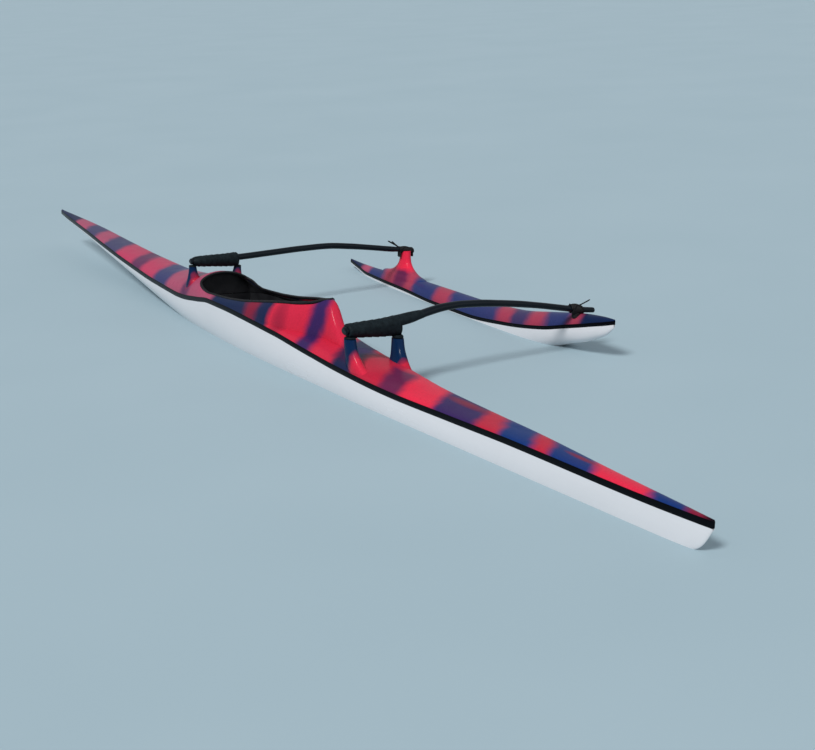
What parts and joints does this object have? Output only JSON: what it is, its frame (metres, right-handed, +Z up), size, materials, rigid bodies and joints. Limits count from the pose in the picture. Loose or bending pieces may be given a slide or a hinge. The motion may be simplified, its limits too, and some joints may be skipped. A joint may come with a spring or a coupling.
{
  "type": "outrigger canoe",
  "caption": "Slim single-seat outrigger canoe: long decked hull with a hooded cockpit, two booms on deck posts and a curved float to port.",
  "frame": {"origin": "on the waterline, on the hull's centre line at the middle of its length", "axes": "+X to the bow, +Y to port, where the float is, +Z up from the water; the boat itself is heeled 5 degrees to port, as it floats"},
  "size_m": [6.49, 1.3708, 0.4581],
  "materials": {
    "white_gelcoat": "gloss white gelcoat",
    "deck_paint": "gloss sprayed bands of crimson and blue",
    "black_gelcoat": "gloss black",
    "black_trim": "satin black",
    "dark_laminate": "satin dark laminate",
    "boom_black": "semi-gloss black",
    "wrap_rubber": "wound black rubber strip",
    "lashing_cord": "black cord",
    "seat_foam": "matte closed-cell foam"
  },
  "bodies": {
    "root": {"hull_bottom": "white_gelcoat", "hull_seam_band": "black_gelcoat", "fore_deck": "deck_paint", "aft_deck": "deck_paint", "cockpit_surround": "deck_paint", "cockpit_trim": "black_trim", "cockpit_tub": "dark_laminate", "seat": "dark_laminate", "seat_pad": "seat_foam", "foot_rest": "black_trim", "float_hull": "white_gelcoat", "float_seam_band": "black_gelcoat", "float_deck": "deck_paint", "float_pylon": "deck_paint", "front_boom": "boom_black", "front_boom_wrap": "wrap_rubber", "front_float_lashing": "lashing_cord", "front_float_chock": "wrap_rubber", "front_post_port": "deck_paint", "front_saddle_port": "wrap_rubber", "front_post_starboard": "deck_paint", "front_saddle_starboard": "wrap_rubber", "aft_boom": "boom_black", "aft_boom_wrap": "wrap_rubber", "aft_float_lashing": "lashing_cord", "aft_float_chock": "wrap_rubber", "aft_post_port": "deck_paint", "aft_saddle_port": "wrap_rubber", "aft_post_starboard": "deck_paint", "aft_saddle_starboard": "wrap_rubber"}
  },
  "joints": []
}
